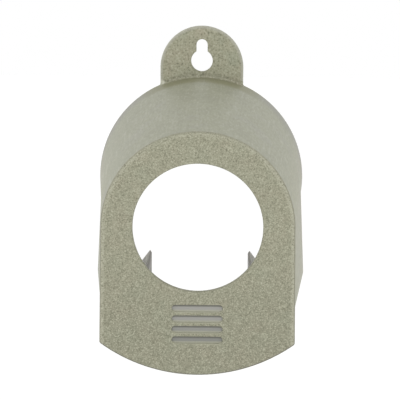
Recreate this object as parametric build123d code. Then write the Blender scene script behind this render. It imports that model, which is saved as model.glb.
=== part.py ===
"""Wall-hung jar holder for feeding garden birds, in millimetres.

A tapered hood hangs flat against a wall by a keyhole tab.  A jar lies inside it on two rails,
with its mouth behind the round hole of the front plate.

Frame: +Z up, -Y towards the birds, +Y into the wall.  The origin is the centre of the keyhole's
round part, on the wall plane y = 0.  The pieces are drawn about the hood's axis, which is
parallel to Y, and are lowered by AXIS_DROP as they are written.
"""
import os
from math import cos, radians, sin, sqrt, tan

from build123d import *

# Whole object
DEPTH = 116.0            # wall plane to the plate's front face
AXIS_DROP = 58.3         # keyhole centre down to the hood's axis
WALL = 2.0               # roof and side walls
EDGE_ROUND = 0.9         # rounding of the outer moulded edges

# Front plate
PLATE_THICK = 2.0
PLATE_RADIUS = 40.0      # arch over the hole
PLATE_SPLAY = 0.97       # degrees that each straight side leans outwards going down
PLATE_DROP = 63.1        # hood's axis down to the lowest point
PLATE_FOOT_RADIUS = 67.5  # curved lower edge
PLATE_CORNER = 1.3
HOLE_RADIUS = 26.85
HOLE_ROUND = 0.5

# Grip grooves below the hole, where a bird's claws hold
GROOVE_COUNT = 4
GROOVE_LENGTH = 21.2
GROOVE_HEIGHT = 3.1
GROOVE_PITCH = 4.55
GROOVE_TOP_Z = -34.1     # middle of the highest groove, from the hood's axis
GROOVE_DEPTH = 1.0
GROOVE_ROUND = 0.35

# Hood: a roof that is part of a cone, on two side walls
ROOF_BACK_RADIUS = 50.5
PLATE_LIP = 0.6          # how far the plate's edge stands proud of the hood
SPRING_ANGLE = 6.0       # the roof ends this many degrees below the axis
WALL_INSET = 0.3         # small step from the roof in to each side wall
FOOT_BACK_HALF = 52.2    # half width over the walls' lower edges, at the back
FOOT_BACK_DROP = 48.9
FOOT_FRONT_DROP = 37.2
FOOT_CORNER = 1.5        # rounded rear lower corner of each wall
FOOT_ROUND = 0.6         # rounding along each wall's lower outer edge
INNER_ROUND = 1.2        # inside corner between the hood and the plate

# Hanging tab
TAB_THICK = 2.6
TAB_RADIUS = 20.3
TAB_TOP = 75.2           # from the hood's axis
TAB_ROUND = 0.7
TAB_ROOT_ROUND = 1.3
KEYHOLE_RADIUS = 5.27
KEYHOLE_SLOT = 5.45
KEYHOLE_RISE = 10.5      # keyhole centre up to the top of the slot

# Cradle rails
RAIL_END = 81.0          # front face back to the rails' free ends
RAIL_RIDGE = (23.7, -29.0)
RAIL_FLANK = 53.0        # degrees that the outer leg falls away from level
RAIL_FOOT_Z = -42.5
RAIL_THICK = 2.2
RAIL_NOSE = 0.8          # width of the blunt bevel beside the ridge
RAIL_NOSE_DROP = 1.3     # how far that bevel falls
RAIL_ROOT_ROUND = 1.0

# Worked out from the above
BODY = DEPTH - PLATE_THICK                  # wall plane to the plate's back face
ROOF_FRONT_RADIUS = PLATE_RADIUS - PLATE_LIP
ROOF_TAPER = (ROOF_BACK_RADIUS - ROOF_FRONT_RADIUS) / BODY
SPRING = radians(SPRING_ANGLE)
SPLAY = radians(PLATE_SPLAY)

# Working sizes
FAR = 200.0                                 # longer than anything here
OVERCUT = 1.0                               # how far a cut runs past a face
CLOSE = 0.01                                # two places nearer than this are the same


def section(distance):
    """Sketch plane facing the birds, this far in front of the wall: local x is X, local y is Z."""
    return Plane.XZ.offset(distance)


def slab(sketch, start, end):
    """Solid over a sketch between two distances in front of the wall."""
    return extrude(section(start) * sketch, amount=end - start, dir=(0, -1, 0))


def plate_half_width(z):
    """Half the plate's width at this height, which is negative below the axis."""
    return PLATE_RADIUS - z * tan(SPLAY)


def rooted(piece, base, pick, radius):
    """The piece with a rounded inside corner where it grows out of base."""
    joined = piece + base
    return fillet(joined.edges().filter_by(pick), radius) - base


def on_plane_y(edge, y):
    """Whether a whole edge lies in the plane of this y."""
    box = edge.bounding_box()
    return abs(box.min.Y - y) < CLOSE and abs(box.max.Y - y) < CLOSE


def same_place(edge, other):
    """Whether two edges have the same middle."""
    return (edge.center() - other.center()).length < CLOSE


def is_arc_on(edge, y, radius):
    """Whether an edge is a round one of this radius in the plane of this y."""
    round_one = edge.geom_type == GeomType.CIRCLE and abs(edge.radius - radius) < CLOSE
    return round_one and on_plane_y(edge, y)


# ---------------------------------------------------------------- front plate
def plate_outline():
    """Arch, two splayed sides and a gently curved lower edge."""
    lean = tan(SPLAY)
    foot_centre = PLATE_FOOT_RADIUS - PLATE_DROP
    start = PLATE_RADIUS - lean * foot_centre
    reach = sqrt(PLATE_FOOT_RADIUS**2 * (1 + lean**2) - start**2) - start * lean
    foot_z = foot_centre - reach / (1 + lean**2)
    foot = plate_half_width(foot_z)
    outline = make_face([
        ThreePointArc((-PLATE_RADIUS, 0), (0, PLATE_RADIUS), (PLATE_RADIUS, 0)),
        Line((PLATE_RADIUS, 0), (foot, foot_z)),
        ThreePointArc((foot, foot_z), (0, -PLATE_DROP), (-foot, foot_z)),
        Line((-foot, foot_z), (-PLATE_RADIUS, 0)),
    ])
    lower_corners = outline.vertices().sort_by(Axis.Y)[:2]
    return fillet(lower_corners, PLATE_CORNER)


def is_groove_lip(edge):
    """Whether an edge is where a grip groove meets the plate's front face."""
    middle = edge.center()
    highest = GROOVE_TOP_Z + GROOVE_PITCH
    lowest = GROOVE_TOP_Z - GROOVE_COUNT * GROOVE_PITCH
    beside = abs(middle.X) < GROOVE_LENGTH / 2 and lowest < middle.Z < highest
    return beside and on_plane_y(edge, -DEPTH)


def make_plate():
    plate = slab(plate_outline() - Circle(HOLE_RADIUS), BODY, DEPTH)
    hole_rim = plate.edges().filter_by(lambda e: is_arc_on(e, -DEPTH, HOLE_RADIUS))
    plate = fillet(hole_rim, HOLE_ROUND)
    front_rim = plate.faces().sort_by(Axis.Y)[0].outer_wire().edges()
    plate = fillet(front_rim, EDGE_ROUND)
    for i in range(GROOVE_COUNT):
        z = GROOVE_TOP_Z - i * GROOVE_PITCH
        groove = Pos(0, z) * SlotOverall(GROOVE_LENGTH, GROOVE_HEIGHT)
        plate -= slab(groove, DEPTH - GROOVE_DEPTH, DEPTH + OVERCUT)
    return fillet(plate.edges().filter_by(is_groove_lip), GROOVE_ROUND)


# ---------------------------------------------------------------- hood
def hood_cone(back_radius, front_radius):
    """Cone between the wall plane and the plate's back face."""
    back = section(-OVERCUT) * Circle(back_radius + ROOF_TAPER * OVERCUT)
    front = section(BODY) * Circle(front_radius)
    return loft([back, front], ruled=True)


def make_roof():
    ring = hood_cone(ROOF_BACK_RADIUS, ROOF_FRONT_RADIUS)
    ring -= hood_cone(ROOF_BACK_RADIUS - WALL, ROOF_FRONT_RADIUS - WALL)
    drop = FAR * tan(SPRING)
    below = Polygon((0, 0), (FAR, -drop), (FAR, -FAR), (-FAR, -FAR), (-FAR, -drop), align=None)
    ring -= slab(below, -2 * OVERCUT, DEPTH)
    return ring & slab(Rectangle(FAR, FAR), 0, BODY)


def wall_outline(roof_radius, foot_half, foot_drop):
    """Section of the right-hand wall, hanging from the roof's lower edge."""
    outer = roof_radius - WALL_INSET
    inner = roof_radius - WALL
    return Polygon(
        (inner * cos(SPRING), -inner * sin(SPRING)),
        (outer * cos(SPRING), -outer * sin(SPRING)),
        (foot_half, -foot_drop),
        (foot_half - WALL + WALL_INSET, -foot_drop),
        align=None,
    )


def make_right_wall():
    front_half = plate_half_width(-FOOT_FRONT_DROP) - PLATE_LIP
    back = section(0) * wall_outline(ROOF_BACK_RADIUS, FOOT_BACK_HALF, FOOT_BACK_DROP)
    front = section(BODY) * wall_outline(ROOF_FRONT_RADIUS, front_half, FOOT_FRONT_DROP)
    wall = loft([back, front], ruled=True)
    rear_corner = wall.edges().filter_by(lambda e: on_plane_y(e, 0)).sort_by(Axis.Z)[0]
    wall = fillet(rear_corner, FOOT_CORNER)
    lower_face = wall.faces().filter_by(GeomType.PLANE).sort_by(Axis.Z)[0]
    lower_edges = lower_face.edges().sort_by(SortBy.LENGTH)[-2:]
    return fillet(lower_edges.sort_by(Axis.X)[-1], FOOT_ROUND)


# ---------------------------------------------------------------- hanging tab
def make_tab():
    centre = TAB_TOP - TAB_RADIUS
    outline = Pos(0, centre) * Circle(TAB_RADIUS)
    outline += Pos(0, centre / 2) * Rectangle(2 * TAB_RADIUS, centre)
    tab = slab(outline, 0, TAB_THICK)
    front_rim = tab.faces().sort_by(Axis.Y)[0].outer_wire().edges()
    upper_rim = front_rim.sort_by(Axis.Z)[1:]
    tab = fillet(upper_rim, TAB_ROUND)
    slot_height = KEYHOLE_RISE - KEYHOLE_SLOT / 2
    keyhole = Circle(KEYHOLE_RADIUS) + Pos(0, slot_height) * Circle(KEYHOLE_SLOT / 2)
    keyhole += Pos(0, slot_height / 2) * Rectangle(KEYHOLE_SLOT, slot_height)
    tab -= slab(Pos(0, AXIS_DROP) * keyhole, -OVERCUT, TAB_THICK + OVERCUT)
    return tab - hood_cone(ROOF_BACK_RADIUS, ROOF_FRONT_RADIUS)


# ---------------------------------------------------------------- cradle rails
def make_right_rail():
    """Inverted V: a level ridge, an upright inner leg and a sloping outer leg."""
    ridge_x, ridge_z = RAIL_RIDGE
    fall = radians(RAIL_FLANK)
    reach = (ridge_z - RAIL_FOOT_Z) / tan(fall)
    leg_span = RAIL_THICK / sin(fall)
    inner_x = ridge_x - RAIL_NOSE
    hollow_x = inner_x + RAIL_THICK
    hollow_z = ridge_z - (hollow_x + leg_span - ridge_x) * tan(fall)
    profile = Polygon(
        (ridge_x, ridge_z),
        (ridge_x + reach, RAIL_FOOT_Z),
        (ridge_x + reach - leg_span, RAIL_FOOT_Z),
        (hollow_x, hollow_z),
        (hollow_x, RAIL_FOOT_Z),
        (inner_x, RAIL_FOOT_Z),
        (inner_x, ridge_z - RAIL_NOSE_DROP),
        align=None,
    )
    return slab(profile, DEPTH - RAIL_END, BODY)


def write(node, shape):
    export_step(Pos(0, 0, -AXIS_DROP) * shape, f"parts/{node}.step")


os.makedirs("parts", exist_ok=True)

plate = make_plate()
roof_blank = make_roof()
wall_blank = make_right_wall()
rail_blank = make_right_rail()
tab_blank = make_tab()

roof_bore = ROOF_FRONT_RADIUS - WALL
roof = rooted(roof_blank, plate, lambda e: is_arc_on(e, -BODY, roof_bore), INNER_ROUND)

wall_root = wall_blank.edges().filter_by(lambda e: on_plane_y(e, -BODY)).sort_by(Axis.X)[0]
wall = rooted(wall_blank, plate, lambda e: same_place(e, wall_root), INNER_ROUND)

rail_roots = rail_blank.edges().filter_by(lambda e: on_plane_y(e, -BODY))
rail_faces = [rail_roots.sort_by(Axis.X)[0], rail_roots.sort_by(SortBy.LENGTH)[-1]]
rail = rooted(
    rail_blank, plate,
    lambda e: any(same_place(e, root) for root in rail_faces),
    RAIL_ROOT_ROUND,
)

tab_foot_radius = ROOF_BACK_RADIUS - ROOF_TAPER * TAB_THICK
tab = rooted(
    tab_blank, roof_blank,
    lambda e: is_arc_on(e, -TAB_THICK, tab_foot_radius),
    TAB_ROOT_ROUND,
)

write("front_plate", plate)
write("arch_roof", roof)
write("right_side_wall", wall)
write("left_side_wall", mirror(wall, Plane.YZ))
write("hanging_tab", tab)
write("right_cradle_rail", rail)
write("left_cradle_rail", mirror(rail, Plane.YZ))
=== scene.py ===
from math import radians

import bmesh
import bpy
from mathutils import Matrix, Vector


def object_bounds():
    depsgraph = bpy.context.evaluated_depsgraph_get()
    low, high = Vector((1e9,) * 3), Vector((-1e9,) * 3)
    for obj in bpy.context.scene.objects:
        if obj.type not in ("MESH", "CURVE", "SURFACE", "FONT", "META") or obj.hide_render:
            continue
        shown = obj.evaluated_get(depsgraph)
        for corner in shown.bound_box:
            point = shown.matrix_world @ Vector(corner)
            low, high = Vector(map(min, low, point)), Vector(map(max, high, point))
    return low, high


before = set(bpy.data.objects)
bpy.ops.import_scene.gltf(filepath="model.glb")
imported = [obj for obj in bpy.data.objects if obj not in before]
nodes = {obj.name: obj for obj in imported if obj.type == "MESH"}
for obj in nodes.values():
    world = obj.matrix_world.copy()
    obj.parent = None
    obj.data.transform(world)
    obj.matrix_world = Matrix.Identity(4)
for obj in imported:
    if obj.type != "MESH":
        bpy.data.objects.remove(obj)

cad_low, cad_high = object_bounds()
scene = bpy.context.scene
MM = 0.001


# ---------------------------------------------------------------- camera
# The holder is seen from straight in front and a little above, through a long lens.
AIM = Vector((-0.45, -2.30, -69.53)) * MM
CAMERA_DISTANCE = 625.1 * MM
CAMERA_TURN = 0.64
CAMERA_TILT = 11.535
CAMERA_ROLL = 0.43
SENSOR = 36.0
LENS = 112.5

camera_data = bpy.data.cameras.new("camera")
camera_data.sensor_width = SENSOR
camera_data.lens = LENS
camera_data.clip_start = 0.01
camera_data.clip_end = 20.0
camera = bpy.data.objects.new("camera", camera_data)
scene.collection.objects.link(camera)
turn = Matrix.Rotation(radians(CAMERA_TURN), 4, "Z")
tilt = Matrix.Rotation(radians(90.0 - CAMERA_TILT), 4, "X")
roll = Matrix.Rotation(radians(CAMERA_ROLL), 4, "Z")
back_off = Matrix.Translation((0, 0, CAMERA_DISTANCE))
camera.matrix_world = Matrix.Translation(AIM) @ turn @ tilt @ roll @ back_off
scene.camera = camera
scene.view_settings.view_transform = "Standard"


# ---------------------------------------------------------------- studio
# A white tent over a pale floor, with soft lamps in front and on both sides.  The tent is a
# little dimmer overhead, and the floor lies well below the holder.
WHITE = (1.0, 1.0, 1.0, 1.0)
TENT_TOP = (0.86, 0.86, 0.865, 1.0)
FLOOR_DROP = 0.30
FLOOR_SIZE = 4.0
FLOOR_GLOW = 0.22
FLOOR_PAINT = (0.88, 0.88, 0.87, 1.0)
FLOOR_ROUGHNESS = 0.9


def put(tree, kind, inputs=None, **settings):
    """A new node; each input, by name or number, is a value or another node's output."""
    made = tree.nodes.new(kind)
    for name, value in settings.items():
        setattr(made, name, value)
    for socket, value in (inputs or {}).items():
        if isinstance(value, bpy.types.NodeSocket):
            tree.links.new(value, made.inputs[socket])
        else:
            made.inputs[socket].default_value = value
    return made


def new_material(name):
    """An empty material, with its tree and its Principled shader."""
    made = bpy.data.materials.new(name)
    made.use_nodes = True
    return made, made.node_tree, made.node_tree.nodes["Principled BSDF"]


def soft_lamp(name, place, size, power):
    """A square lamp that points at the middle of the holder."""
    lamp_data = bpy.data.lights.new(name, "AREA")
    lamp_data.shape = "SQUARE"
    lamp_data.size = size
    lamp_data.energy = power
    lamp = bpy.data.objects.new(name, lamp_data)
    scene.collection.objects.link(lamp)
    place = Vector(place)
    aimed = (place - AIM).to_track_quat("Z", "Y").to_matrix().to_4x4()
    lamp.matrix_world = Matrix.Translation(place) @ aimed


tent = bpy.data.worlds.new("tent")
tent.use_nodes = True
sky = tent.node_tree
up = put(sky, "ShaderNodeTexCoord").outputs["Generated"]
up = put(sky, "ShaderNodeSeparateXYZ", {0: up}).outputs["Z"]
roof_share = put(sky, "ShaderNodeMapRange", {"Value": up, "From Min": 0.25, "From Max": 0.85})
fade = put(sky, "ShaderNodeMix", {0: roof_share.outputs[0], 6: WHITE, 7: TENT_TOP}, data_type="RGBA")
sky.links.new(fade.outputs[2], sky.nodes["Background"].inputs["Color"])
scene.world = tent

soft_lamp("lamp_front", (0.0, -0.60, 0.45), 0.35, 1.15)
soft_lamp("lamp_left", (-0.95, -0.15, -0.30), 0.40, 1.5)
soft_lamp("lamp_right", (0.95, -0.15, -0.30), 0.40, 0.8)

floor_mesh = bpy.data.meshes.new("floor")
floor_shape = bmesh.new()
bmesh.ops.create_grid(floor_shape, x_segments=1, y_segments=1, size=FLOOR_SIZE)
bmesh.ops.translate(floor_shape, verts=floor_shape.verts, vec=(0, 0, cad_low.z - FLOOR_DROP))
floor_shape.to_mesh(floor_mesh)
floor_shape.free()
floor = bpy.data.objects.new("floor", floor_mesh)
scene.collection.objects.link(floor)
floor_paint, _, floor_shader = new_material("pale_floor")
floor_shader.inputs["Base Color"].default_value = FLOOR_PAINT
floor_shader.inputs["Roughness"].default_value = FLOOR_ROUGHNESS
floor_shader.inputs["Emission Color"].default_value = WHITE
floor_shader.inputs["Emission Strength"].default_value = FLOOR_GLOW
floor_mesh.materials.append(floor_paint)


# ---------------------------------------------------------------- front plate
# The flat face that the birds come to, with the hole for the jar's mouth and four grooves for
# claws.  Sage green plastic, moulded against a spark-eroded tool that leaves a coarse grain on
# the face; the groove floors and the rim of the hole were cut smooth in the tool.
SAGE = (0.278, 0.275, 0.196, 1.0)
SAGE_DARK = (0.140, 0.138, 0.090, 1.0)
SAGE_LIGHT = (0.440, 0.438, 0.330, 1.0)
SAGE_CREST_HIGHLIGHT = (0.345, 0.340, 0.255, 1.0)
SAGE_FOOT_SHADE = (0.252, 0.249, 0.177, 1.0)
SAGE_COOL = (0.258, 0.272, 0.195, 1.0)
SAGE_WARM = (0.296, 0.272, 0.198, 1.0)
GROOVE_GREY = (0.312, 0.308, 0.284, 1.0)
GROOVE_DARK = (0.222, 0.224, 0.204, 1.0)
GROOVE_SHADE = (0.120, 0.120, 0.098, 1.0)
RIM_SHADE = (0.125, 0.123, 0.094, 1.0)
MOULD_BACK = (0.285, 0.288, 0.225, 1.0)
PLATE_GRAIN = 1900.0      # grains per metre
PLATE_FACE_Y = cad_low.y
PLATE_ARCH = 40.0 * MM
PLATE_SPLAY = 0.0169      # how much wider the plate's sides get, for each step down
AXIS_Z = -58.3 * MM
GROOVE_SKIN = 0.35 * MM   # how far behind the face the smooth floors start
GROOVE_PITCH = 4.55 * MM
GROOVE_EDGE_Z = -90.85 * MM      # upper edge of the highest groove
GROOVE_END_Z = -107.6 * MM       # lower edge of the lowest groove
ZONE_HALF = 11.4 * MM     # half width of the zone that the grooves and their lips take up
ZONE_MARGIN = 0.7 * MM    # how far that zone goes past the outermost edges
ZONE_BLUR = 0.2 * MM
LIP_SHADE = (0.26, 0.11)  # from a groove's upper edge down, in shares of the pitch
COVE_LIGHT = (0.44, 0.56)
PLASTIC_IOR = 1.49
PIT_ROUGHNESS = 0.78
CREST_ROUGHNESS = 0.62
GROOVE_ROUGHNESS = 0.50
RIM_ROUGHNESS = 0.80
GRAIN_DEPTH = 0.16 * MM


def maths(tree, operation, first, second=0.0):
    """The output of a Math node."""
    return put(tree, "ShaderNodeMath", {0: first, 1: second}, operation=operation).outputs[0]


def ramp(tree, value, low, high, start=0.0, end=1.0):
    """A soft step from start to end, as value goes from low to high."""
    sockets = {"Value": value, "From Min": low, "From Max": high, "To Min": start, "To Max": end}
    return put(tree, "ShaderNodeMapRange", sockets, interpolation_type="SMOOTHSTEP").outputs[0]


def blend(tree, amount, under, over):
    """One number or colour laid over another by a mask."""
    is_colour = isinstance(over, tuple)
    sockets = {0: amount, 6: under, 7: over} if is_colour else {0: amount, 2: under, 3: over}
    made = put(tree, "ShaderNodeMix", sockets, data_type="RGBA" if is_colour else "FLOAT")
    return made.outputs[2] if is_colour else made.outputs[0]


def lay(tree, colour, mask, share, over):
    """A colour with some share of another laid over it where the mask says."""
    return blend(tree, maths(tree, "MULTIPLY", mask, share), colour, over)


def new_group(name, takes, gives):
    """A shader group; its inputs have these values, and None is a vector."""
    tree = bpy.data.node_groups.new(name, "ShaderNodeTree")
    for socket, value in takes.items():
        kind = "NodeSocketVector" if value is None else "NodeSocketFloat"
        made = tree.interface.new_socket(name=socket, in_out="INPUT", socket_type=kind)
        if value is not None:
            made.default_value = value
    for socket in gives:
        tree.interface.new_socket(name=socket, in_out="OUTPUT", socket_type="NodeSocketFloat")
    inlet = tree.nodes.new("NodeGroupInput").outputs
    outlet = tree.nodes.new("NodeGroupOutput").inputs
    return tree, inlet, outlet


def use(tree, group, **inputs):
    """The outputs of a group placed in a material with its own values."""
    return put(tree, "ShaderNodeGroup", inputs, node_tree=group).outputs


def coordinates(tree):
    """Object coordinates, their Y and Z, and the Y and Z of the way the surface faces."""
    source = put(tree, "ShaderNodeTexCoord")
    here = source.outputs["Object"]
    place = put(tree, "ShaderNodeSeparateXYZ", {0: here}).outputs
    way = put(tree, "ShaderNodeSeparateXYZ", {0: source.outputs["Normal"]}).outputs
    return here, place["Y"], place["Z"], way["Y"], way["Z"]


def faces_front(tree, facing):
    """A mask of the faces that look straight out at the birds."""
    return ramp(tree, facing, -0.80, -0.96)


def faces_wall(tree, facing):
    """A mask of the faces that look back at the wall."""
    return ramp(tree, facing, 0.50, 0.90)


def from_axis(tree, here):
    """Distance from the hood's axis."""
    flat = put(tree, "ShaderNodeVectorMath", {0: here, 1: (1, 0, 1)}, operation="MULTIPLY")
    ends = {0: flat.outputs[0], 1: (0, 0, AXIS_Z)}
    return put(tree, "ShaderNodeVectorMath", ends, operation="DISTANCE").outputs["Value"]


def inside_arch(tree, here, height, middle, radius, splay=0.0):
    """How far a point lies inside an outline: a half circle on straight or splayed sides."""
    below = maths(tree, "SUBTRACT", middle, height)
    over = maths(tree, "MAXIMUM", maths(tree, "MULTIPLY", below, -1.0), 0.0)
    across = put(tree, "ShaderNodeVectorMath", {0: here, 1: (1, 0, 0)}, operation="MULTIPLY")
    up = put(tree, "ShaderNodeCombineXYZ", {"Z": over})
    ends = {0: across.outputs[0], 1: up.outputs[0]}
    span = put(tree, "ShaderNodeVectorMath", ends, operation="ADD").outputs[0]
    span = put(tree, "ShaderNodeVectorMath", {0: span}, operation="LENGTH").outputs["Value"]
    wider = maths(tree, "MULTIPLY", maths(tree, "MAXIMUM", below, 0.0), splay)
    return maths(tree, "SUBTRACT", maths(tree, "ADD", radius, wider), span)


# Spark-eroded grain: worm-like flecks, with painted light where the skin stands up and painted shade
# in the pits.
grain, takes, gives = new_group(
    "spark_grain",
    {"Coordinate": None, "Grain": 1000.0},
    ("Light Fleck", "Dark Fleck", "Height"),
)
fine = put(
    grain, "ShaderNodeTexNoise",
    {"Vector": takes["Coordinate"], "Scale": takes["Grain"], "Detail": 3.0, "Roughness": 0.62},
).outputs["Fac"]
pits = put(
    grain, "ShaderNodeTexVoronoi",
    {"Vector": takes["Coordinate"], "Scale": maths(grain, "MULTIPLY", takes["Grain"], 0.8)},
    feature="SMOOTH_F1",
).outputs["Distance"]
bumps = maths(grain, "MULTIPLY", fine, 0.75)
grain.links.new(ramp(grain, fine, 0.52, 0.68), gives["Light Fleck"])
grain.links.new(ramp(grain, fine, 0.48, 0.32), gives["Dark Fleck"])
grain.links.new(maths(grain, "ADD", bumps, maths(grain, "MULTIPLY", pits, 0.35)), gives["Height"])

# Clouding: slow patches where the colour of a moulding drifts.
clouding, takes, gives = new_group(
    "clouding",
    {"Coordinate": None, "Patches": 60.0},
    ("Cool Patch", "Warm Patch"),
)
drift = put(
    clouding, "ShaderNodeTexNoise",
    {"Vector": takes["Coordinate"], "Scale": takes["Patches"], "Detail": 4.0, "Roughness": 0.55},
).outputs["Fac"]
clouding.links.new(ramp(clouding, drift, 0.50, 0.70), gives["Cool Patch"])
clouding.links.new(ramp(clouding, drift, 0.50, 0.30), gives["Warm Patch"])

# Edge line: a thin, broken line along the moulded edges.  Laid lighter it is a painted highlight on a
# rounded edge, on the hood together with polish where handling has rubbed the skin; laid darker it is
# painted shade.
edge_shading_and_wear, takes, gives = new_group(
    "edge_shading_and_wear_lines",
    {"Coordinate": None, "Width": 0.0006, "Breaks": 350.0},
    ("Edge",),
)
rounded = put(edge_shading_and_wear, "ShaderNodeBevel", {"Radius": takes["Width"]}, samples=6).outputs[0]
flat = put(edge_shading_and_wear, "ShaderNodeNewGeometry").outputs["Normal"]
agree = put(edge_shading_and_wear, "ShaderNodeVectorMath", {0: rounded, 1: flat}, operation="DOT_PRODUCT")
gaps = put(
    edge_shading_and_wear, "ShaderNodeTexNoise",
    {"Vector": takes["Coordinate"], "Scale": takes["Breaks"], "Detail": 2.0},
).outputs["Fac"]
edge = ramp(edge_shading_and_wear, agree.outputs["Value"], 0.985, 0.85)
edge_shading_and_wear.links.new(maths(edge_shading_and_wear, "MULTIPLY", edge, ramp(edge_shading_and_wear, gaps, 0.35, 0.60)), gives["Edge"])

plate_plastic, tree, shader = new_material("plate_grained_sage")
here, depth, height, facing, rise = coordinates(tree)
flecks = use(tree, grain, Coordinate=here, Grain=PLATE_GRAIN)
patches = use(tree, clouding, Coordinate=here, Patches=110.0)
edges = use(tree, edge_shading_and_wear, Coordinate=here, Width=1.5 * MM, Breaks=300.0)
set_back = ramp(tree, depth, PLATE_FACE_Y + GROOVE_SKIN, PLATE_FACE_Y + 2 * GROOVE_SKIN)
on_face = faces_front(tree, facing)
groove_floor = maths(tree, "MULTIPLY", set_back, on_face)
grained = maths(tree, "SUBTRACT", on_face, groove_floor)
down = maths(tree, "SUBTRACT", GROOVE_EDGE_Z, height)
zone_top = GROOVE_EDGE_Z + ZONE_MARGIN
zone_foot = GROOVE_END_Z - ZONE_MARGIN
in_grooves = maths(
    tree, "MULTIPLY",
    ramp(tree, height, zone_top + ZONE_BLUR, zone_top - ZONE_BLUR),
    ramp(tree, height, zone_foot - ZONE_BLUR, zone_foot + ZONE_BLUR),
)
sideways = put(tree, "ShaderNodeVectorMath", {0: here, 1: (1, 0, 0)}, operation="MULTIPLY")
sideways = put(tree, "ShaderNodeVectorMath", {0: sideways.outputs[0]}, operation="LENGTH")
near_middle = ramp(tree, sideways.outputs["Value"], ZONE_HALF + ZONE_BLUR, ZONE_HALF - ZONE_BLUR)
in_grooves = maths(tree, "MULTIPLY", in_grooves, near_middle)
past_edge = maths(tree, "FRACT", maths(tree, "DIVIDE", down, GROOVE_PITCH))
under_lip = maths(tree, "MULTIPLY", ramp(tree, past_edge, *LIP_SHADE), groove_floor)
lit_lower_lip = maths(tree, "MULTIPLY", in_grooves, ramp(tree, rise, 0.20, 0.60))
lit_lower_cove = maths(tree, "MULTIPLY", groove_floor, ramp(tree, past_edge, *COVE_LIGHT))
outside = maths(tree, "SUBTRACT", 1.0, in_grooves)
rim_side = maths(tree, "MULTIPLY", ramp(tree, facing, -0.97, -0.76), outside)
front_half = ramp(tree, facing, 0.60, 0.20)
rim_side = maths(tree, "MULTIPLY", rim_side, front_half)
inset = inside_arch(tree, here, height, AXIS_Z, PLATE_ARCH, PLATE_SPLAY)
highlight_fade = ramp(tree, height, AXIS_Z + 26 * MM, AXIS_Z + 38 * MM, 1.0, 0.5)
rim_highlight = maths(tree, "MULTIPLY", ramp(tree, inset, 2.2 * MM, 1.3 * MM), front_half)
rim_highlight = maths(tree, "MULTIPLY", rim_highlight, highlight_fade)
hole_zone = ramp(tree, from_axis(tree, here), 31 * MM, 29 * MM)
hole_highlight = maths(tree, "MULTIPLY", edges["Edge"], hole_zone)
rim_under = maths(tree, "MULTIPLY", ramp(tree, rise, -0.08, -0.42), outside)
rim_under = maths(tree, "MULTIPLY", rim_under, maths(tree, "SUBTRACT", 1.0, hole_zone))
rim_side = maths(tree, "MAXIMUM", rim_side, maths(tree, "MULTIPLY", rim_under, front_half))
rim_share = ramp(tree, rise, 0.8, -0.9, 0.22, 1.0)
rim_share = blend(tree, hole_zone, rim_share, 0.0)
rim_wobble = ramp(tree, flecks["Height"], 0.40, 0.60, 0.60, 1.0)
rim_share = maths(tree, "MULTIPLY", rim_share, rim_wobble)
# Painted shade: the plate grows darker towards its foot.
colour = blend(tree, ramp(tree, height, AXIS_Z - 5 * MM, AXIS_Z - 45 * MM), SAGE, SAGE_FOOT_SHADE)
colour = lay(tree, colour, patches["Cool Patch"], 0.35, SAGE_COOL)
colour = lay(tree, colour, patches["Warm Patch"], 0.35, SAGE_WARM)
# Painted highlights on the crest of the plate's rounded outline and along the rounded rim of the
# hole.
colour = lay(tree, colour, rim_highlight, 0.90, SAGE_CREST_HIGHLIGHT)
colour = lay(tree, colour, hole_highlight, 0.70, SAGE_CREST_HIGHLIGHT)
colour = lay(tree, colour, flecks["Dark Fleck"], 0.88, SAGE_DARK)
colour = lay(tree, colour, flecks["Light Fleck"], 0.78, SAGE_LIGHT)
colour = lay(tree, colour, rim_side, rim_share, RIM_SHADE)
colour = lay(tree, colour, groove_floor, 1.0, GROOVE_GREY)
fading = maths(tree, "MULTIPLY", groove_floor, ramp(tree, down, 5 * MM, 15 * MM))
colour = lay(tree, colour, fading, 1.0, GROOVE_DARK)
# Painted light in the lower part of each groove floor and on its up-facing lower lip, and painted
# shadow under its upper lip.
colour = lay(tree, colour, lit_lower_cove, 0.60, SAGE_LIGHT)
colour = lay(tree, colour, under_lip, 0.80, GROOVE_SHADE)
colour = lay(tree, colour, lit_lower_lip, 0.70, SAGE_LIGHT)
colour = lay(tree, colour, faces_wall(tree, facing), 1.0, MOULD_BACK)
tree.links.new(colour, shader.inputs["Base Color"])
dull = ramp(tree, flecks["Height"], 0.35, 0.65, PIT_ROUGHNESS, CREST_ROUGHNESS)
smooth = maths(tree, "MULTIPLY", outside, maths(tree, "SUBTRACT", 1.0, hole_zone))
smooth = blend(tree, smooth, GROOVE_ROUGHNESS, RIM_ROUGHNESS)
gloss = blend(tree, grained, smooth, dull)
tree.links.new(gloss, shader.inputs["Roughness"])
relief = maths(tree, "MULTIPLY", flecks["Height"], grained)
skin = put(tree, "ShaderNodeBump", {"Strength": 0.55, "Distance": GRAIN_DEPTH, "Height": relief})
tree.links.new(skin.outputs[0], shader.inputs["Normal"])
shader.inputs["IOR"].default_value = PLASTIC_IOR
nodes["front_plate"].data.materials.clear()
nodes["front_plate"].data.materials.append(plate_plastic)


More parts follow.
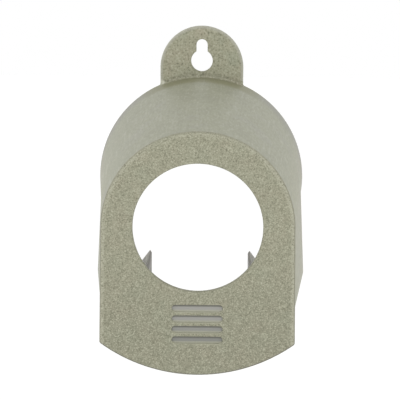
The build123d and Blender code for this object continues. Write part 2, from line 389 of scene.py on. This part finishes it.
# ---------------------------------------------------------------- hanging tab
# The flat tongue that hangs the holder on a wall screw by its keyhole.  It is moulded in one
# with the hood's rear rim, in the same grained green, with a scuff low on its left corner.
TAB_GRAIN = 1050.0
TAB_SAGE = (0.318, 0.313, 0.223, 1.0)
TAB_COOL = (0.302, 0.313, 0.227, 1.0)
TAB_WARM = (0.336, 0.310, 0.225, 1.0)
TAB_RIM_HIGHLIGHT = (0.385, 0.382, 0.318, 1.0)
TAB_RADIUS = 20.3 * MM
TAB_MIDDLE_Z = -3.4 * MM
TAB_EDGE_ROUGHNESS = 0.52
FOOT_TOP = 52.6 * MM      # distance from the hood's axis where the tab's foot starts to round
SCUFF_PLACE = Vector((-19.2, -2.6, -10.6)) * MM
SCUFF_REACH = 1.7 * MM
SCUFF_PALE = (0.60, 0.60, 0.50, 1.0)

tab_plastic, tree, shader = new_material("tab_grained_sage")
here, _, height, facing, _ = coordinates(tree)
flecks = use(tree, grain, Coordinate=here, Grain=TAB_GRAIN)
patches = use(tree, clouding, Coordinate=here, Patches=95.0)
edges = use(tree, edge_shading_and_wear, Coordinate=here, Width=1.4 * MM, Breaks=320.0)
from_scuff = put(
    tree, "ShaderNodeVectorMath", {0: here, 1: SCUFF_PLACE}, operation="DISTANCE"
).outputs["Value"]
scuff = ramp(tree, from_scuff, SCUFF_REACH, 0.2 * SCUFF_REACH)
on_face = faces_front(tree, facing)
out_from_axis = from_axis(tree, here)
above_foot = ramp(tree, out_from_axis, FOOT_TOP - 0.6 * MM, FOOT_TOP)
inset = inside_arch(tree, here, height, TAB_MIDDLE_Z, TAB_RADIUS)
rim_highlight = maths(tree, "MULTIPLY", ramp(tree, inset, 1.7 * MM, 0.8 * MM), above_foot)
off_rim = maths(tree, "MULTIPLY", ramp(tree, inset, 2.0 * MM, 3.0 * MM), above_foot)
keyhole_edge_shade = maths(tree, "MULTIPLY", edges["Edge"], off_rim)
colour = lay(tree, TAB_SAGE, patches["Cool Patch"], 0.8, TAB_COOL)
colour = lay(tree, colour, patches["Warm Patch"], 0.8, TAB_WARM)
# Painted shade on the rounded foot of the tab, where it meets the hood.
colour = lay(tree, colour, ramp(tree, out_from_axis, 53.0 * MM, 51.4 * MM), 0.35, SAGE_DARK)
colour = lay(tree, colour, flecks["Dark Fleck"], 0.75, SAGE_DARK)
colour = lay(tree, colour, flecks["Light Fleck"], 0.75, SAGE_LIGHT)
# Painted highlight along the crest of the tab's rounded edge.
colour = lay(tree, colour, rim_highlight, 0.68, TAB_RIM_HIGHLIGHT)
# Painted shade along the keyhole's rounded edge.
colour = lay(tree, colour, keyhole_edge_shade, 0.45, SAGE_DARK)
colour = lay(tree, colour, scuff, 0.8, SCUFF_PALE)
colour = lay(tree, colour, faces_wall(tree, facing), 1.0, MOULD_BACK)
tree.links.new(colour, shader.inputs["Base Color"])
dull = ramp(tree, flecks["Height"], 0.35, 0.65, PIT_ROUGHNESS, CREST_ROUGHNESS)
gloss = blend(tree, on_face, TAB_EDGE_ROUGHNESS, dull)
tree.links.new(gloss, shader.inputs["Roughness"])
relief = maths(tree, "MULTIPLY", flecks["Height"], on_face)
skin = put(tree, "ShaderNodeBump", {"Strength": 0.45, "Distance": GRAIN_DEPTH, "Height": relief})
tree.links.new(skin.outputs[0], shader.inputs["Normal"])
shader.inputs["IOR"].default_value = PLASTIC_IOR
nodes["hanging_tab"].data.materials.clear()
nodes["hanging_tab"].data.materials.append(tab_plastic)


# ---------------------------------------------------------------- arch roof
# The tapered hood over the jar.  The same plastic against smooth steel: greyer and satin, with
# faint marks drawn front to back where the moulding slid off its core and out of the tool.
STONE = (0.286, 0.290, 0.213, 1.0)
STONE_DARK = (0.245, 0.247, 0.183, 1.0)
STONE_LIGHT = (0.358, 0.359, 0.278, 1.0)
STONE_LILAC = (0.288, 0.284, 0.240, 1.0)
STONE_REAR = (0.235, 0.230, 0.208, 1.0)
STONE_LOW = (0.290, 0.290, 0.198, 1.0)
STONE_LOW_REAR = (0.325, 0.318, 0.255, 1.0)
LOW_FRONT_Y = -105 * MM
LOW_TOP_Z = AXIS_Z + 24 * MM     # the lower tone sets in between these two heights
LOW_FOOT_Z = AXIS_Z + 4 * MM
REAR_Y = -2 * MM
TAB_SHADE_Y = (-18 * MM, -11 * MM)    # the painted shadow of the tab on the roof, tinted green as by light off the tab
TAB_SHADE_Z = (-20 * MM, -13 * MM)
SATIN_ROUGHNESS = 0.52
PALE_ROUGHNESS = 0.46
SATIN_DEPTH = 0.08 * MM
STONE_TAB_SHADE = (0.210, 0.207, 0.120, 1.0)
STONE_CORE_LIT = (0.405, 0.405, 0.318, 1.0)
SPECK_PULL = 0.25         # specks are drawn out to four times their width
JOINT_Y = -112.0 * MM     # nearer the plate than this, an edge is a joint and gets no wear or painted highlight

# Draw marks: long faint streaks along the moulding's depth, with a fine satin over them.
marking, takes, gives = new_group(
    "draw_marks",
    {"Coordinate": None, "Marks": 260.0, "Length": 0.02},
    ("Light Mark", "Dark Mark", "Satin"),
)
stretch = put(marking, "ShaderNodeCombineXYZ", {"X": 1.0, "Y": takes["Length"], "Z": 1.0})
drawn = put(
    marking, "ShaderNodeVectorMath",
    {0: takes["Coordinate"], 1: stretch.outputs[0]}, operation="MULTIPLY",
).outputs[0]
line = put(
    marking, "ShaderNodeTexNoise",
    {"Vector": drawn, "Scale": takes["Marks"], "Detail": 4.0, "Roughness": 0.6},
).outputs["Fac"]
satin = put(
    marking, "ShaderNodeTexNoise",
    {"Vector": takes["Coordinate"], "Scale": 1500.0, "Detail": 2.0},
).outputs["Fac"]
marking.links.new(ramp(marking, line, 0.52, 0.72), gives["Light Mark"])
marking.links.new(ramp(marking, line, 0.48, 0.28), gives["Dark Mark"])
marking.links.new(satin, gives["Satin"])


def away_from_axis(tree, here):
    """How squarely a face looks away from the hood's axis: 1 straight out, -1 straight in."""
    way = put(tree, "ShaderNodeTexCoord").outputs["Normal"]
    out = put(tree, "ShaderNodeVectorMath", {0: here, 1: (0, 0, AXIS_Z)}, operation="SUBTRACT")
    out = put(tree, "ShaderNodeVectorMath", {0: out.outputs[0], 1: (1, 0, 1)}, operation="MULTIPLY")
    out = put(tree, "ShaderNodeVectorMath", {0: out.outputs[0]}, operation="NORMALIZE")
    faced = {0: out.outputs[0], 1: way}
    return put(tree, "ShaderNodeVectorMath", faced, operation="DOT_PRODUCT").outputs["Value"]


def towards_axis(tree, here):
    """A mask of the faces on the inside of the hood, which look in at its axis."""
    return ramp(tree, away_from_axis(tree, here), -0.35, -0.60)


def smooth_stone(name, marks, patch, edge_width, light, rear, dull, lit_side, colours):
    """Smooth satin plastic; the mask function given makes the mask of the side that takes the last
    colour, which is painted light.
    """
    base, low, low_back, dark, pale, back, lit_colour = colours
    made, tree, shader = new_material(name)
    here, depth, height, _, _ = coordinates(tree)
    drawn = use(tree, marking, Coordinate=here, Marks=marks)
    patches = use(tree, clouding, Coordinate=here, Patches=patch)
    edges = use(tree, edge_shading_and_wear, Coordinate=here, Width=edge_width, Breaks=220.0)
    pulled = put(tree, "ShaderNodeVectorMath", {0: here, 1: (1, SPECK_PULL, 1)}, operation="MULTIPLY")
    specks = use(tree, grain, Coordinate=pulled.outputs[0], Grain=1000.0)
    wear_and_edge_highlight = maths(tree, "MULTIPLY", edges["Edge"], ramp(tree, depth, JOINT_Y, JOINT_Y + 2 * MM))
    lit_faces = lit_side(tree, here)
    lowness = ramp(tree, height, LOW_TOP_Z, LOW_FOOT_Z)
    colour = blend(tree, lowness, base, low)
    low_rear = maths(tree, "MULTIPLY", ramp(tree, depth, LOW_FRONT_Y, REAR_Y), lowness)
    colour = lay(tree, colour, low_rear, 0.70, low_back)
    colour = lay(tree, colour, patches["Cool Patch"], 0.5, STONE_LILAC)
    colour = lay(tree, colour, patches["Warm Patch"], 0.5, dark)
    colour = lay(tree, colour, drawn["Light Mark"], light, pale)
    colour = lay(tree, colour, drawn["Dark Mark"], light, dark)
    colour = lay(tree, colour, specks["Light Fleck"], 0.70, pale)
    colour = lay(tree, colour, specks["Dark Fleck"], 0.80, dark)
    colour = lay(tree, colour, ramp(tree, depth, rear, REAR_Y), 0.60, back)
    tab_shade = maths(tree, "MULTIPLY", ramp(tree, depth, *TAB_SHADE_Y), ramp(tree, height, *TAB_SHADE_Z))
    # Painted shadow of the tab on the roof at its foot, tinted green as by light off the tab.
    colour = lay(tree, colour, tab_shade, 0.85, STONE_TAB_SHADE)
    # Painted highlight along the hood's edges, with wear where handling has polished them.
    colour = lay(tree, colour, wear_and_edge_highlight, 0.45, pale)
    # Painted light on the side that the mask picks out.
    colour = lay(tree, colour, lit_faces, 0.85, lit_colour)
    tree.links.new(colour, shader.inputs["Base Color"])
    gloss = ramp(tree, drawn["Light Mark"], 0.0, 1.0, dull, dull - 0.08)
    gloss = blend(tree, wear_and_edge_highlight, gloss, dull - 0.14)
    gloss = blend(tree, lit_faces, gloss, PALE_ROUGHNESS)
    tree.links.new(gloss, shader.inputs["Roughness"])
    scored = maths(tree, "MULTIPLY", drawn["Dark Mark"], -0.5)
    relief = maths(tree, "ADD", scored, maths(tree, "MULTIPLY", drawn["Satin"], 0.5))
    skin = put(tree, "ShaderNodeBump", {"Strength": 0.22, "Distance": SATIN_DEPTH, "Height": relief})
    tree.links.new(skin.outputs[0], shader.inputs["Normal"])
    shader.inputs["IOR"].default_value = PLASTIC_IOR
    return made


roof_plastic = smooth_stone(
    "roof_satin_stone", 520.0, 45.0, 0.8 * MM, 0.20, -18 * MM, SATIN_ROUGHNESS, towards_axis,
    (STONE, STONE_LOW, STONE_LOW_REAR, STONE_DARK, STONE_LIGHT, STONE_REAR, STONE_CORE_LIT),
)
nodes["arch_roof"].data.materials.clear()
nodes["arch_roof"].data.materials.append(roof_plastic)


# ---------------------------------------------------------------- side walls
# The walls that carry the roof down to the level of the birds' feet.  They taper in towards the
# plate, and were released along their length, so their draw marks are closer than the roof's.
wall_plastic = smooth_stone(
    "wall_satin_stone", 560.0, 45.0, 0.7 * MM, 0.20, -12 * MM, SATIN_ROUGHNESS, towards_axis,
    (STONE, STONE_LOW, STONE_LOW_REAR, STONE_DARK, STONE_LIGHT, STONE_LOW_REAR, STONE_CORE_LIT),
)
for side in ("left_side_wall", "right_side_wall"):
    nodes[side].data.materials.clear()
    nodes[side].data.materials.append(wall_plastic)


# ---------------------------------------------------------------- cradle rails
# Two ribs of inverted V section, moulded out from the back of the plate, whose ridges carry the
# jar.  The outer slopes, which fall away from those ridges, carry painted light thrown up onto them
# and are the palest of the smooth parts.
RAIL = (0.376, 0.364, 0.354, 1.0)
RAIL_DARK = (0.338, 0.327, 0.318, 1.0)
RAIL_PALE = (0.440, 0.430, 0.414, 1.0)
RAIL_FLANK_LIT = (0.610, 0.595, 0.585, 1.0)
RAIL_ROUGHNESS = 0.95


def outer_slope(tree, here):
    """A mask of the outer slopes: every face but the ones that look in towards the axis."""
    return ramp(tree, away_from_axis(tree, here), -0.30, 0.0)


rail_plastic = smooth_stone(
    "rail_satin_stone", 700.0, 90.0, 1.0 * MM, 0.40, -20 * MM, RAIL_ROUGHNESS, outer_slope,
    (RAIL, RAIL, RAIL, RAIL_DARK, RAIL_PALE, RAIL, RAIL_FLANK_LIT),
)
for side in ("left_cradle_rail", "right_cradle_rail"):
    nodes[side].data.materials.clear()
    nodes[side].data.materials.append(rail_plastic)
